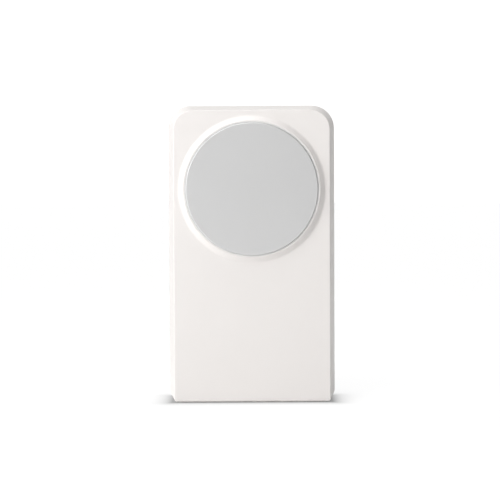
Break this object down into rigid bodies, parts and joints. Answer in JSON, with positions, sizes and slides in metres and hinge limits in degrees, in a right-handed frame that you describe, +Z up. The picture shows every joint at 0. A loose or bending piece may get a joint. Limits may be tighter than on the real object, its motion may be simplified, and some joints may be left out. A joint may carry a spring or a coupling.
{
  "type": "video doorbell",
  "caption": "Wall-mounted battery video doorbell: white slab with drafted sides, a large round silver one-way mirror button hiding the camera, and a wall plate behind.",
  "frame": {"origin": "middle of the base, on the plane that the bell stands on, halfway between the disc's face and the wall plate's back", "axes": "+Z up, -Y out of the front with the button, +Y into the wall, +X to the right seen from the front"},
  "size_m": [0.073, 0.027, 0.128],
  "materials": {
    "white_cover": "satin, warm off-white",
    "white_inner": "satin, warm off-white",
    "mirror_disc": "silver grey one-way mirror, satin",
    "milky_plastic": "milky, lets light through",
    "black_plastic": "fine grain",
    "grey_plate": "fine grain",
    "rubber": "silicone, matt",
    "foam": "closed-cell foam",
    "circuit_board": "green solder mask over glass fibre",
    "steel": "plated",
    "brass": "plain",
    "dark_glass": "coated, dark",
    "flex_cable": "amber polyimide",
    "battery_wrap": "shrink film",
    "red_plastic": "plain",
    "black_cable": "plain"
  },
  "bodies": {
    "bell": {"battery_connector": "milky_plastic", "battery_lead": "red_plastic", "battery_pack": "battery_wrap", "board_screw_1": "steel", "board_screw_2": "steel", "button_frame": "black_plastic", "button_seal": "rubber", "button_switch_1": "black_plastic", "button_switch_2": "black_plastic", "camera_board": "circuit_board", "camera_flex": "flex_cable", "camera_holder": "black_plastic", "front_cover": "white_cover", "housing_gasket": "rubber", "housing_screw_1": "steel", "housing_screw_2": "steel", "housing_screw_3": "steel", "housing_screw_4": "steel", "image_sensor": "dark_glass", "infrared_board": "circuit_board", "infrared_led_1": "dark_glass", "infrared_led_2": "dark_glass", "lens_barrel": "black_plastic", "lens_glass": "dark_glass", "light_ring": "milky_plastic", "main_board": "circuit_board", "microphone": "steel", "microphone_boot": "rubber", "port_cover_anchor": "rubber", "power_board": "circuit_board", "power_flex": "flex_cable", "processor_shield": "steel", "rear_housing": "white_cover", "reset_dome": "steel", "ring_led_1": "milky_plastic", "ring_led_2": "milky_plastic", "ring_led_3": "milky_plastic", "ring_led_4": "milky_plastic", "speaker": "black_plastic", "speaker_connector": "milky_plastic", "speaker_gasket": "foam", "speaker_lead": "black_cable", "terminal_post_1": "brass", "terminal_post_2": "brass", "usb_socket": "steel", "wifi_antenna": "flex_cable", "wifi_module": "steel"},
    "bell_button": {"button_disc": "mirror_disc", "disc_tape": "black_plastic", "button_carrier": "white_inner"},
    "switch_plunger_1": {"switch_plunger_1": "steel"},
    "switch_plunger_2": {"switch_plunger_2": "steel"},
    "reset_button": {"reset_button": "red_plastic"},
    "port_cover": {"port_cover": "rubber"},
    "terminal_screw_1": {"terminal_screw_1": "steel"},
    "terminal_screw_2": {"terminal_screw_2": "steel"},
    "security_screw": {"security_screw": "steel"},
    "wall_plate": {"wall_plate": "grey_plate"}
  },
  "joints": [
    {"name": "bell_button_press", "type": "slide", "parent": "bell", "child": "bell_button", "axis": [0, 1, 0], "range_m": [0, 0.0009], "stiffness_N_per_m": 2500, "springref_m": -0.0006},
    {"name": "switch_press_1", "type": "slide", "parent": "bell", "child": "switch_plunger_1", "axis": [0, 1, 0], "range_m": [0, 0.0009], "stiffness_N_per_m": 400, "springref_m": -0.0002},
    {"name": "switch_press_2", "type": "slide", "parent": "bell", "child": "switch_plunger_2", "axis": [0, 1, 0], "range_m": [0, 0.0009], "stiffness_N_per_m": 400, "springref_m": -0.0002},
    {"name": "reset_press", "type": "slide", "parent": "bell", "child": "reset_button", "axis": [0, -1, 0], "range_m": [0, 0.0005], "stiffness_N_per_m": 1500, "springref_m": -0.0003},
    {"name": "port_cover_swing", "type": "hinge", "parent": "bell", "child": "port_cover", "pos_m": [0, 0.0066, 0.0436], "axis": [1, 0, 0], "range_deg": [0, 100], "stiffness_Nm_per_rad": 0.001},
    {"name": "terminal_screw_lift_1", "type": "slide", "parent": "bell", "child": "terminal_screw_1", "axis": [0, 1, 0], "range_m": [0, 0.002]},
    {"name": "terminal_screw_lift_2", "type": "slide", "parent": "bell", "child": "terminal_screw_2", "axis": [0, 1, 0], "range_m": [0, 0.002]},
    {"name": "security_screw_out", "type": "slide", "parent": "bell", "child": "security_screw", "axis": [0, 0, -1], "range_m": [0, 0.006]},
    {"name": "lift_off_hooks", "type": "slide", "parent": "bell", "child": "wall_plate", "axis": [0, 0, -1], "range_m": [0, 0.009]}
  ],
  "couplings": [
    {"joint": "switch_press_1", "follows": "bell_button_press", "ratio": 1},
    {"joint": "switch_press_2", "follows": "bell_button_press", "ratio": 1}
  ]
}
